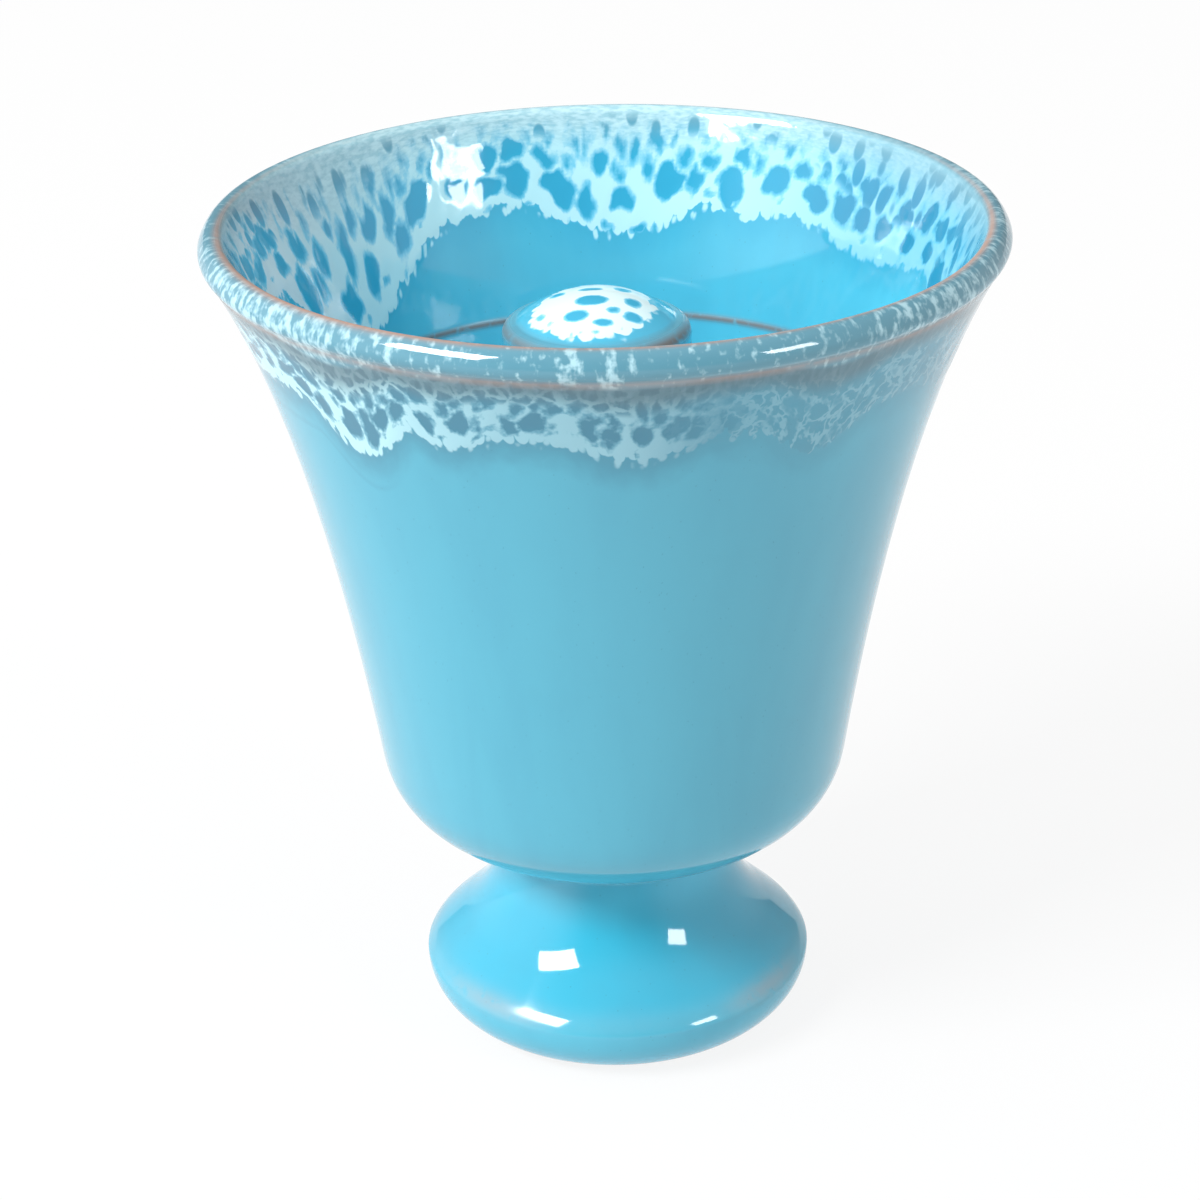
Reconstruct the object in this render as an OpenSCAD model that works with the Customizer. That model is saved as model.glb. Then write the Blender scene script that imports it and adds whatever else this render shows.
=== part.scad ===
// Pythagorean cup: a glazed stoneware bowl on a hollow foot, with a bell siphon luted inside it.
// A closed column stands over a standpipe. Wine that rises past the line inside the bowl spills
// into the standpipe, and the siphon then empties the whole bowl out under the foot.
// Sizes are in millimetres. The table is z = 0, and the cup's axis is Z.

/* [Bowl] */
// Height of the cup, from the table to the top of the lip
cup_h = 100; // [92:1:120]
// Diameter over the lip
rim_d = 90; // [80:1:110]
// Radius of the rounded lip
lip_r = 1.6; // [1.3:0.1:2.2]
// Diameter where the wall leaves the rounded heel
belly_d = 55.2; // [48:0.2:64]
// Height of that place above the bowl's seat
belly_rise = 10.9; // [8:0.1:16]
// How far the heel's curve bulges outwards, as its control point inside the belly radius
heel_inset = 1.3; // [0.4:0.1:4]
// Height of the heel's control point above the seat
heel_rise = 2.1; // [0.5:0.1:4]
// Lean of the wall out of the vertical where it leaves the heel, in degrees
wall_lean = 8.5; // [4:0.5:14]
// Depth below the lip at which the wall turns out into the flare
flare_drop = 21.6; // [14:0.2:30]
// Thickness of the wall low down
wall_t = 3; // [2.6:0.1:4.5]
// Thickness of the wall at the flare
flare_wall_t = 2.3; // [2:0.1:4]
// Thickness of the floor
floor_t = 5; // [4:0.1:8]
// Width of the hollow curve between the floor and the inner wall
floor_cove = 8.5; // [6:0.1:10]
// How far the fill line stands out of the inner wall
line_proud = 0.5; // [0.3:0.05:1]
// Height of the fill line's ridge
line_h = 1; // [0.6:0.1:2]

/* [Foot] */
// Height of the foot, without the slip on top of it
foot_h = 23.9; // [21:0.1:32]
// Diameter of the foot's widest place
foot_d = 46.6; // [42:0.2:60]
// Height of the widest place above the table
foot_edge_h = 6.3; // [4:0.1:9]
// Half width of the oval round above the widest place
edge_round_w = 6.5; // [3:0.1:9]
// Half height of that round
edge_round_h = 2.9; // [1.5:0.1:5]
// Lean of the flank above it out of the vertical, in degrees
flank_lean = 47; // [42:1:55]
// Diameter at which the flank starts to sweep up to the neck
sweep_d = 35.8; // [31:0.2:40]
// Outer diameter of the ring that stands on the table
ring_od = 28.8; // [28:0.2:40]
// Inner diameter of the ring that stands on the table
ring_id = 24.4; // [22:0.2:27]
// Diameter of the neck under the bowl
neck_d = 26.2; // [24:0.2:34]
// Length of the upright neck under the slip
neck_l = 0.3; // [0.1:0.1:2]
// Height of the hollow under the foot
recess_h = 15; // [12:0.1:17]
// Diameter of the hollow's flat ceiling
ceiling_d = 15; // [13:0.2:20]

/* [Siphon] */
// Sideways offset of the hand-set siphon from the cup's axis
siphon_x = -1.1; // [-2:0.1:2]
// Outer diameter of the column
column_d = 21.4; // [19:0.2:24]
// Wall of the column
column_wall = 2.4; // [2:0.1:3]
// Height of the column's tube above the floor
column_h = 55; // [46:0.5:58]
// Height of the cap's edge above its seat
cap_edge_h = 2.5; // [2:0.1:5]
// Radius of the cap's rounded edge
cap_round = 1.6; // [0.8:0.1:1.9]
// Rise of the cap's dome above its edge
cap_rise = 3.2; // [2:0.1:6]
// Depth of the spigot that centres the cap in the column
spigot_h = 2; // [1:0.1:4]
// Room above the standpipe, under the cap's spigot
crest_gap = 6.8; // [5:0.1:12]
// Outer diameter of the standpipe
pipe_d = 7.2; // [6.4:0.1:8]
// Bore of the standpipe
pipe_bore = 4.2; // [3:0.1:5]
// How far the standpipe's end stands out of the foot's hollow ceiling
spout_l = 1.5; // [1.3:0.1:4]
// Width of the inlet at the column's base
inlet_w = 5; // [4.2:0.1:7]
// Height of the inlet, to the top of its arch
inlet_h = 6; // [5.5:0.1:10]

/* [Joints] */
// Thickness of the slip between pieces that are stuck face to face
slip_t = 0.6; // [0.4:0.1:1.2]
// Leg of the coil of clay round the column's base
column_coil = 2; // [1:0.1:3]
// Leg of the coil of clay round the standpipe on the bowl's floor
pipe_coil = 1.5; // [0.8:0.1:2]
// Leg of the slip fillet round the standpipe's lower end
drain_coil = 1.2; // [0.8:0.1:1.3]
// Gap between a piece and the hole that it passes through
fit_gap = 0.15; // [0.05:0.05:0.3]

/* [Hidden] */

$fn = 128;
curve_steps = 16;
arc_steps = 8;
// Extra length of a cut past the faces that it opens
past = 1;
// How far the control point of the hollow's curve stands off the corner that it rounds
recess_pull = 1;
// How deep a coil's face is pressed in, as a share of its leg
coil_hollow = 0.25;

blue_glaze = [0.41, 0.74, 0.84];
pale_glaze = [0.86, 0.93, 0.95];
bare_clay = [0.62, 0.38, 0.24];
slip_clay = [0.52, 0.36, 0.26];

// Heights, from the table up
seat_z = foot_h + slip_t;
floor_z = seat_z + floor_t;
belly_z = seat_z + belly_rise;
column_top = floor_z + column_h;
cap_seat_z = column_top + slip_t;
chamber_top = cap_seat_z - spigot_h;
line_z = chamber_top - crest_gap;
spout_z = recess_h - spout_l;

// Radii
belly_r = belly_d / 2;
neck_r = neck_d / 2;
foot_r = foot_d / 2;
column_r = column_d / 2;
column_in_r = column_r - column_wall;
pipe_r = pipe_d / 2;
pipe_hole_r = pipe_r + fit_gap;

// The lip is a round bead. The outer wall runs into it from below, the inner wall from inside.
lip_centre = [rim_d / 2 - lip_r, cup_h - lip_r];
lip_start = -60;
lip_end = 150;
lip_outside = on_arc(lip_centre, [lip_r, lip_r], lip_start);
lip_inside = on_arc(lip_centre, [lip_r, lip_r], lip_end);

// The wall's curve, outside and inside, as three control points each
flare_z = cup_h - flare_drop;
flare_r = belly_r + (flare_z - belly_z) * tan(wall_lean);
wall_out = [[belly_r, belly_z], [flare_r, flare_z], lip_outside];
wall_in = [[belly_r - wall_t, belly_z], [flare_r - flare_wall_t, flare_z], lip_inside];
heel = [[neck_r, seat_z], [belly_r - heel_inset, seat_z + heel_rise], wall_out[0]];
cove = [wall_in[0], [wall_in[0][0], floor_z], [wall_in[0][0] - floor_cove, floor_z]];

// The fill line lies on the inner wall, level with the top of the standpipe
line_top_t = curve_t(wall_in, line_z + line_h / 2);
line_low_t = curve_t(wall_in, line_z - line_h / 2);
line_top = on_curve(wall_in, line_top_t);
line_low = on_curve(wall_in, line_low_t);

// A point on the quadratic curve of three control points, at t from 0 to 1
function on_curve(c, t) = (1 - t) * (1 - t) * c[0] + 2 * t * (1 - t) * c[1] + t * t * c[2];

// The t at which such a curve, which climbs all the way, reaches the height z
function curve_t(c, z) =
    let (a = c[0][1] - 2 * c[1][1] + c[2][1], b = c[1][1] - c[0][1], d = c[0][1] - z)
    -d / (b + sqrt(b * b - a * d));

// Points along such a curve, without its first point
function curve(c, from = 0, to = 1) =
    [for (i = [1:curve_steps]) on_curve(c, from + (to - from) * i / curve_steps)];

// A point on an ellipse with the given half axes, and points along its arc without the first
function on_arc(centre, half, angle) = centre + [half[0] * cos(angle), half[1] * sin(angle)];
function arc(centre, half, from, to) =
    [for (i = [1:arc_steps]) on_arc(centre, half, from + (to - from) * i / arc_steps)];

// The fill line's round ridge, from its top edge down to its lower edge
function line_ridge() =
    [for (i = [1:arc_steps])
        line_top + (line_low - line_top) * i / arc_steps - [line_proud * sin(180 * i / arc_steps), 0]];

// Moves what it draws onto the siphon's axis
module on_siphon(z = 0) {
    translate([siphon_x, 0, z]) children();
}

// The hole that the standpipe passes through
module pipe_hole(from_z, to_z) {
    on_siphon(from_z - past) cylinder(h = to_z - from_z + 2 * past, r = pipe_hole_r);
}

// The arched inlet, cut forwards from the siphon's axis through everything in front of it
module inlet_cut(reach) {
    arch_z = inlet_h - inlet_w / 2;
    on_siphon(floor_z) rotate([90, 0, 0]) linear_extrude(reach + past) {
        translate([0, arch_z]) circle(d = inlet_w);
        translate([-inlet_w / 2, -past]) square([inlet_w, arch_z + past]);
    }
}

// A coil of clay pressed into the corner round a tube: a hollow-faced fillet that climbs by leg
module fillet_ring(tube_r, leg) {
    face = [[tube_r + leg, 0], [tube_r, 0], [tube_r, leg]];
    pressed = leg * coil_hollow;
    hollow = [[tube_r, leg], [tube_r + pressed, pressed], [tube_r + leg, 0]];
    rotate_extrude() polygon(concat(face, [for (i = [1:curve_steps - 1]) on_curve(hollow, i / curve_steps)]));
}

// The thrown bowl, from its seat on the foot round the lip and back down to its floor
module bowl() color(blue_glaze) difference() {
    rotate_extrude() polygon(concat(
        [[0, seat_z], heel[0]],
        curve(heel),
        curve(wall_out),
        arc(lip_centre, [lip_r, lip_r], lip_start, lip_end),
        curve(wall_in, 1, line_top_t),
        line_ridge(),
        curve(wall_in, line_low_t, 0),
        curve(cove),
        [[0, floor_z]]
    ));
    pipe_hole(seat_z, floor_z);
}

// The turned foot: a round-edged disc that sweeps up to the neck, hollow underneath
module foot() color(blue_glaze) difference() {
    ring_in = ring_id / 2;
    ring_out = ring_od / 2;
    recess = [[ceiling_d / 2, recess_h], [ring_in - recess_pull, recess_h - recess_pull], [ring_in, 0]];
    edge_centre = [foot_r - edge_round_w, foot_edge_h];
    edge_half = [edge_round_w, edge_round_h];
    edge_turn = atan(tan(flank_lean) * edge_round_h / edge_round_w);
    edge_end = on_arc(edge_centre, edge_half, edge_turn);
    climb = 1 / tan(flank_lean);
    sweep_r = sweep_d / 2;
    sweep_z = edge_end[1] + (edge_end[0] - sweep_r) * climb;
    sweep = [[sweep_r, sweep_z], [neck_r, sweep_z + (sweep_r - neck_r) * climb], [neck_r, foot_h - neck_l]];
    rotate_extrude() polygon(concat(
        [[0, recess_h], recess[0]],
        curve(recess),
        [[ring_out, 0]],
        arc([ring_out, foot_edge_h], [foot_r - ring_out, foot_edge_h], -90, 0),
        arc(edge_centre, edge_half, 0, edge_turn),
        [sweep[0]],
        curve(sweep),
        [[neck_r, foot_h], [0, foot_h]]
    ));
    pipe_hole(recess_h, foot_h);
}

// The slip that sticks the bowl to the foot, squeezed out into a small bead
module foot_seam() color(slip_clay) difference() {
    rotate_extrude() polygon(concat(
        [[0, foot_h], [neck_r, foot_h]],
        arc([neck_r, foot_h + slip_t / 2], [slip_t / 2, slip_t / 2], -90, 90),
        [[0, seat_z]]
    ));
    pipe_hole(foot_h, seat_z);
}

// The bell of the siphon: a tube on the bowl's floor with one inlet at its base
module column() color(blue_glaze) difference() {
    on_siphon(floor_z) cylinder(h = column_h, r = column_r);
    on_siphon(floor_z - past) cylinder(h = column_h + 2 * past, r = column_in_r);
    inlet_cut(column_r);
}

// The coil that lutes the column to the floor, open in front of the inlet
module column_coil_seam() color(blue_glaze) difference() {
    on_siphon(floor_z) fillet_ring(column_r, column_coil);
    inlet_cut(column_r + column_coil);
}

// The domed cap that closes the column, with a spigot that centres it
module column_cap() color(pale_glaze) {
    dome_r = column_r - cap_round;
    edge_z = cap_seat_z + cap_edge_h;
    ball_r = (dome_r * dome_r + cap_rise * cap_rise) / (2 * cap_rise);
    ball_centre = [0, edge_z + cap_rise - ball_r];
    spigot_r = column_in_r - fit_gap;
    on_siphon() rotate_extrude() polygon(concat(
        [[0, chamber_top], [spigot_r, chamber_top], [spigot_r, cap_seat_z], [column_r, cap_seat_z]],
        [[column_r, edge_z - cap_round]],
        arc([dome_r, edge_z - cap_round], [cap_round, cap_round], 0, 90),
        arc(ball_centre, [ball_r, ball_r], acos(dome_r / ball_r), 90)
    ));
}

// The ring of slip between the column and its cap
module cap_seam() color(slip_clay) on_siphon(column_top) difference() {
    cylinder(h = slip_t, r = column_r);
    translate([0, 0, -past]) cylinder(h = slip_t + 2 * past, r = column_in_r);
}

// The siphon's pipe, from the fill line down through the floor and the foot
module standpipe() color(bare_clay) on_siphon(spout_z) difference() {
    cylinder(h = line_z - spout_z, r = pipe_r);
    translate([0, 0, -past]) cylinder(h = line_z - spout_z + 2 * past, d = pipe_bore);
}

// The coil that seals the standpipe to the bowl's floor, inside the column
module standpipe_coil_seam() color(bare_clay) on_siphon(floor_z) fillet_ring(pipe_r, pipe_coil);

// The slip fillet that seals the standpipe's lower end to the foot's hollow ceiling
module drain_seam() color(slip_clay) on_siphon(recess_h) mirror([0, 0, 1]) fillet_ring(pipe_r, drain_coil);

bowl();
foot();
foot_seam();
column();
column_coil_seam();
column_cap();
cap_seam();
standpipe();
standpipe_coil_seam();
drain_seam();
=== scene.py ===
import bmesh
import bpy
import numpy as np
from mathutils import Matrix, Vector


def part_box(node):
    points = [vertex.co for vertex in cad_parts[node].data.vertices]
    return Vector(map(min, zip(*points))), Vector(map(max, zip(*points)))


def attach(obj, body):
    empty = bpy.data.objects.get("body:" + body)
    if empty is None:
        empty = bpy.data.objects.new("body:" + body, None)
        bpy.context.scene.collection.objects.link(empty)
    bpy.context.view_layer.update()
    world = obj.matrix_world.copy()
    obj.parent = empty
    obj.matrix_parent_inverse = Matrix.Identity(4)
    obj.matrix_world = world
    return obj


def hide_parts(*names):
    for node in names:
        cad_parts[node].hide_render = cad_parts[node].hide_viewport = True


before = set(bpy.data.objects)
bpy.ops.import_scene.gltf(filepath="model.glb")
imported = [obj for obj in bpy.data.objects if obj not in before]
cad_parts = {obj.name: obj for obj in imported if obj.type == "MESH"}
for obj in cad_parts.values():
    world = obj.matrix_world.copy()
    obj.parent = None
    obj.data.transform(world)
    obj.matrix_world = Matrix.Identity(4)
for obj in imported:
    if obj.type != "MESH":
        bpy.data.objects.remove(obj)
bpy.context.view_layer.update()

# The bowl is thrown from brown clay and glazed turquoise inside and out.
# A white lace glaze runs down from the lip on both sides and breaks into cells.
# The clay shows brown where the glaze is thin: on the lip, under it and on the fill line.

bowl_low, bowl_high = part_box("bowl")
column_low, column_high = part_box("column")
pipe_low, pipe_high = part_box("standpipe")

# Sizes in metres and degrees, and the number of steps round the bowl
fit_gap = 0.00015
siphon_x = (column_low.x + column_high.x) / 2
pipe_radius = (pipe_high.x - pipe_low.x) / 2
pipe_hole_radius = pipe_radius + fit_gap
rim_radius = bowl_high.x
lip_height = bowl_high.z
seat_height = bowl_low.z
floor_height = column_low.z
neck_radius = 0.0131
lip_round = 0.0013
lip_slope = 31
lip_slope_width = 9
lip_slope_round = 0.0042
lip_outer_end = -60
lip_inner_end = 150
belly_radius = 0.0276
belly_rise = 0.0109
belly_height = seat_height + belly_rise
heel_inset = 0.0013
heel_rise = 0.0014
flare_lean = 8.5
flare_drop = 0.0216
flare_height = lip_height - flare_drop
flare_radius = belly_radius + (flare_height - belly_height) * np.tan(np.radians(flare_lean))
wall_thickness = 0.0030
flare_thickness = 0.0023
floor_cove = 0.0085
fill_line_height = pipe_high.z
fill_line_proud = 0.00006
fill_line_half = 0.0004
fill_line_zone = 0.001
fine_gap = 0.00042
outer_fine = 0.016
inner_fine = 0.022
lace_proud = 0.00005
bowl_around = 560
sharp_angle = 50

# The lace: sizes in millimetres and degrees, and shares of bare clay
pattern_radius = 42
inside_depth = 12.4
outside_depth = 13.6
inside_wall = 0.32
outside_wall = 0.24
hole_wobble = 0.22
no_hole = 3.0
inside_start = 1
outside_start = -4
lace_end = -4
plain_end = -6
thin_place = -48
under_lip_depth = 4.7
under_lip_half = 0.5
under_lip_bare = 0.42
fill_line_bare = 0.9


def bend(start, pull, end, steps):
    """Points on the quadratic curve from start to end that leans towards pull, without the first."""
    t = np.linspace(0, 1, steps + 1)[1:, None]
    start, pull, end = (np.array(point, float) for point in (start, pull, end))
    return (1 - t) ** 2 * start + 2 * t * (1 - t) * pull + t ** 2 * end


def bell(x, half_width):
    """The bell curve: e to the minus square of x over the half width."""
    return np.exp(-(x / half_width) ** 2)


def eased_arc(first, last, radius, slope, slope_width, slope_radius, steps):
    """Points along a rounding, from the first to the last lean of its outward normal in degrees.
    Its radius grows to slope_radius about the lean slope, as a bell curve does, so the rounding has
    a flatter face there. Each step goes along the tangent by the radius times the change of lean."""
    lean = np.linspace(first, last, steps)
    bow = radius + (slope_radius - radius) * bell(lean - slope, slope_width)
    angle = np.radians(lean)
    length = bow * (angle[1] - angle[0])
    moves = np.stack([-np.sin(angle), np.cos(angle)], axis=1) * length[:, None]
    return np.cumsum(moves, axis=0) - moves / 2


def straight(start, end, steps):
    """Points along a straight line, without the first."""
    t = np.linspace(0, 1, steps + 1)[1:, None]
    return np.array(start) + (np.array(end) - np.array(start)) * t


def smooth_step(low, high, x):
    """0 below low, 1 above high, and the curve 3t^2 - 2t^3 between them."""
    t = np.clip((x - low) / (high - low), 0, 1)
    return t * t * (3 - 2 * t)


def ring_points(radius, turn, height, shift=0.0):
    """Points about an upright axis: x = radius cos turn + shift, y = radius sin turn, z = height."""
    return np.stack([radius * np.cos(turn) + shift, radius * np.sin(turn), height], axis=-1)


def grid_piece(name, points, wrap_rows, wrap_steps):
    """A mesh over a grid of points, rows by steps by xyz, with a face between each four neighbours.
    Rows or steps that wrap join their last to their first. Steps that don't wrap get flat ends."""
    rows, steps = points.shape[:2]
    row = np.arange(rows if wrap_rows else rows - 1)[:, None]
    step = np.arange(steps if wrap_steps else steps - 1)[None, :]
    above = (row + 1) % rows
    beside = (step + 1) % steps
    corners = [row * steps + step, row * steps + beside, above * steps + beside, above * steps + step]
    faces = np.stack(corners, axis=-1).reshape(-1, 4).tolist()
    if not wrap_steps:
        first = np.arange(rows) * steps
        faces += [first.tolist(), (first + steps - 1)[::-1].tolist()]
    mesh = bpy.data.meshes.new(name)
    mesh.from_pydata(points.reshape(-1, 3), [], faces)
    mesh.shade_smooth()
    mesh.set_sharp_from_angle(angle=np.radians(sharp_angle))
    piece = bpy.data.objects.new(name, mesh)
    bpy.context.scene.collection.objects.link(piece)
    return piece


def turned(name, profile, around, shift=0.0, closed=True):
    """Turns a profile of (radius, height) points about an upright axis, as ring_points does.
    A closed profile makes a ring, an open one ends in two poles.
    Returns the object with the radius, height and angle of its vertices."""
    radius = np.repeat(profile[:, :1], around, axis=1)
    height = np.repeat(profile[:, 1:], around, axis=1)
    turn = np.broadcast_to(np.linspace(-np.pi, np.pi, around, endpoint=False), radius.shape)
    slide = np.broadcast_to(shift, len(profile))[:, None]
    piece = grid_piece(name, ring_points(radius, turn, height, slide), closed, True)
    return piece, radius.ravel(), height.ravel(), turn.ravel()


def lay_on(piece, **values):
    """Stores a number or a vector for each vertex, under a name that a material reads.
    A single number is stored for every vertex."""
    count = len(piece.data.vertices)
    for name, value in values.items():
        value = np.asarray(value, np.float32)
        kind, key = ("FLOAT_VECTOR", "vector") if value.ndim == 2 else ("FLOAT", "value")
        store = piece.data.attributes.new(name, kind, "POINT")
        spread = np.broadcast_to(value, (count,) + value.shape[1:])
        store.data.foreach_set(key, np.ascontiguousarray(spread).ravel())


def humps(turn, level, bumps):
    """A value round the pot: a level with round-topped bumps on it.
    Each bump is (angle in degrees, half width in degrees, height)."""
    value = np.full_like(turn, level)
    for angle, half_width, rise_by in bumps:
        away = np.degrees(np.angle(np.exp(1j * (turn - np.radians(angle))))) / half_width
        value += rise_by * np.clip(1 - away ** 2, 0, None) ** 1.5
    return value


def along(points):
    """How far each point lies along a line of points."""
    return np.concatenate([[0], np.cumsum(np.hypot(*np.diff(points, axis=0).T))])


def respaced(points, stops):
    """New points on a line of points, at the given distances along it."""
    far = along(points)
    return np.stack([np.interp(stops, far, points[:, 0]), np.interp(stops, far, points[:, 1])], axis=1)


def lay_holes(dice, girth, rows):
    """Oval holes in rows round the pot, evenly spaced and then shaken at random in place, depth, size
    and shape. A row is (depth, spacing, half width, half height). Returns the place round the pot,
    the depth, the half width and the half height of each hole."""
    place_shake = 0.35
    depth_shake = 0.24
    size_shake = 0.3
    shape_shake = 0.2
    holes = []
    for depth, spacing, half_width, half_height in rows:
        count = round(girth / spacing)
        shake = dice.uniform(-1, 1, (4, count))
        place = (np.arange(count) + place_shake * shake[0]) * girth / count
        sunk = depth + depth_shake * spacing * shake[1]
        size = 1 + size_shake * shake[2]
        tall = shape_shake * shake[3]
        holes.append([place, sunk, half_width * size * (1 - tall), half_height * size * (1 + tall)])
    return np.concatenate(holes, axis=1)


def lace_web(place, depth, holes, girth, thin):
    """How far out of the lace's holes each place lies, above 0 in the web and below 0 in a hole:
    the greater of the way out of the nearest oval and the way to the face of a thin wall between
    the two nearest, softly joined by the logarithm of the sum of their exponentials."""
    soft = 0.1
    x, y, half_width, half_height = holes
    aside = np.abs(place[:, None] - x)
    aside = np.minimum(aside, girth - aside)
    far = np.hypot(aside / half_width, (depth[:, None] - y) / half_height)
    near = np.partition(far, 1, axis=1)
    size = half_width[np.argmin(far, axis=1)]
    out = size * (near[:, 0] - 1)
    wall = thin - size * (near[:, 1] - near[:, 0]) / 2
    return soft * np.logaddexp(out / soft, wall / soft)


def colour(red, green, blue):
    """A display colour from 0 to 255 as the linear colour that a shader takes."""
    shown = np.array([red, green, blue]) / 255
    linear = np.where(shown <= 0.04045, shown / 12.92, ((shown + 0.055) / 1.055) ** 2.4)
    return (*linear.tolist(), 1.0)


# Colours of the turquoise, and of the clay where it shows outside and in the bowl
turquoise_outside = colour(81, 169, 193)
turquoise_inside = colour(81, 191, 219)
turquoise_pool = colour(52, 174, 204)
streak_blue = colour(70, 150, 178)
speck_blue = colour(50, 104, 126)
clay_outside = colour(190, 152, 134)
clay_inside = colour(112, 100, 94)

# Colours of the lace: in its holes and slits, in its web, in the veils under the lip, and on the lip
hole_outside = colour(60, 127, 152)
hole_inside = colour(50, 170, 207)
hole_thin = colour(32, 138, 176)
slit_pale = colour(106, 162, 180)
slit_deep = colour(58, 130, 156)
pale_outside = colour(104, 166, 187)
pale_inside = colour(114, 205, 233)
white_outside = colour(178, 224, 234)
white_inside = colour(190, 240, 248)
white_thick = colour(230, 241, 243)
white_thickest = colour(226, 250, 252)
veil_dark = colour(150, 196, 209)
veil_light = colour(192, 226, 234)
veil_thin = colour(120, 176, 194)
veil_thick = colour(112, 156, 174)
grey_dark = colour(76, 110, 123)
grey_light = colour(91, 124, 137)
lip_blue = colour(90, 146, 165)
lip_white = colour(172, 212, 223)


def add(tree, kind, inputs=None, **settings):
    """Adds a shader node, sets its settings, and sets or links its inputs."""
    node = tree.nodes.new(kind)
    for key, value in settings.items():
        setattr(node, key, value)
    for key, value in (inputs or {}).items():
        if isinstance(value, bpy.types.NodeSocket):
            tree.links.new(value, node.inputs[key])
        else:
            node.inputs[key].default_value = value
    return node


def sums(tree, operation, *values):
    """One arithmetic step on numbers or sockets."""
    return add(tree, "ShaderNodeMath", dict(enumerate(values)), operation=operation).outputs[0]


def times(tree, first, *others):
    """The product of numbers or sockets."""
    for other in others:
        first = sums(tree, "MULTIPLY", first, other)
    return first


def plus(tree, value, share, start=0.0):
    """The line start + share times value."""
    return sums(tree, "MULTIPLY_ADD", value, share, start)


def rise(tree, value, low, high):
    """A smooth climb from 0 to 1 as value goes from low to high, or a fall where low is above high."""
    ends = (low, high, 0.0, 1.0) if low < high else (high, low, 1.0, 0.0)
    inputs = dict(zip(("Value", "From Min", "From Max", "To Min", "To Max"), (value, *ends)))
    return add(tree, "ShaderNodeMapRange", inputs, interpolation_type="SMOOTHSTEP").outputs["Result"]


def mix(tree, share, first, second):
    """The first colour, with a share of the second over it."""
    return add(tree, "ShaderNodeMix", {0: share, 6: first, 7: second}, data_type="RGBA").outputs[2]


def read(tree, name, output="Fac"):
    """A number or vector that lay_on stored on the mesh."""
    return add(tree, "ShaderNodeAttribute", attribute_name=name).outputs[output]


def vector_sum(tree, operation, *values):
    """One step on vectors."""
    return add(tree, "ShaderNodeVectorMath", dict(enumerate(values)), operation=operation).outputs[0]


def enlarge(tree, vector, factor):
    """A vector times a number."""
    inputs = {"Vector": vector, "Scale": factor}
    return add(tree, "ShaderNodeVectorMath", inputs, operation="SCALE").outputs[0]


def stretch(tree, skin, across, up):
    """A place on the surface, times one number round the pot and another up and down it."""
    return vector_sum(tree, "MULTIPLY", skin, (across, across, up))


def cells(tree, place, scale=1.0, feature="DISTANCE_TO_EDGE"):
    """Distance to the nearest wall between cells, or with F1 to the nearest cell's middle."""
    inputs = {"Vector": place, "Scale": scale}
    return add(tree, "ShaderNodeTexVoronoi", inputs, feature=feature).outputs["Distance"]


def cloud(tree, place, scale=1.0, detail=2.0, output="Fac"):
    """Soft noise from 0 to 1."""
    inputs = {"Vector": place, "Scale": scale, "Detail": detail}
    return add(tree, "ShaderNodeTexNoise", inputs).outputs[output]


def start_glaze(name):
    """A new glossy material, its node tree and shader, and the place on the surface in millimetres."""
    material = bpy.data.materials.new(name)
    material.use_nodes = True
    tree = material.node_tree
    shader = tree.nodes["Principled BSDF"]
    shader.inputs["IOR"].default_value = 1.6
    return material, tree, shader, read(tree, "skin", "Vector")


def turquoise_paint(tree, skin, inside):
    """The turquoise: brighter in the bowl and in pools, with faint upright streaks and dark specks.
    On the foot, inside makes it paler towards the neck. That is painted light, standing in for the shade
    under the bowl.
    """
    streak = cloud(tree, stretch(tree, skin, 1.0, 0.4), 0.11, 3.0)
    body = mix(tree, inside, turquoise_outside, turquoise_inside)
    body = mix(tree, read(tree, "pool"), body, turquoise_pool)
    body = mix(tree, plus(tree, rise(tree, streak, 0.3, 0.8), 0.25), body, streak_blue)
    speck = rise(tree, cells(tree, skin, 0.8, "F1"), 0.085, 0.05)
    return mix(tree, times(tree, speck, 0.3), body, speck_blue)


def clay_over(tree, skin, paint):
    """The paint, with brown clay showing through where the glaze is thin."""
    patchy = cloud(tree, skin, 0.8, 3.0)
    clay = times(tree, read(tree, "bare"), rise(tree, patchy, 0.05, 0.5))
    brown = mix(tree, rise(tree, read(tree, "inside"), 0.7, 1.0), clay_outside, clay_inside)
    return mix(tree, clay, paint, brown)


def clay_roughness(tree):
    """Glossy where the glaze is whole, and matt where the clay shows."""
    return plus(tree, read(tree, "bare"), 0.5, 0.06)


def turquoise_glaze(name):
    """Plain turquoise glaze over brown clay. It reads from the mesh: skin, a place on the surface in
    millimetres; inside, 1 in the bowl, and on the foot a painted light that grows towards the neck;
    bare, how much clay shows; pool, how deep the turquoise lies."""
    material, tree, shader, skin = start_glaze(name)
    paint = clay_over(tree, skin, turquoise_paint(tree, skin, read(tree, "inside")))
    tree.links.new(paint, shader.inputs["Base Color"])
    tree.links.new(clay_roughness(tree), shader.inputs["Roughness"])
    return material


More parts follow.
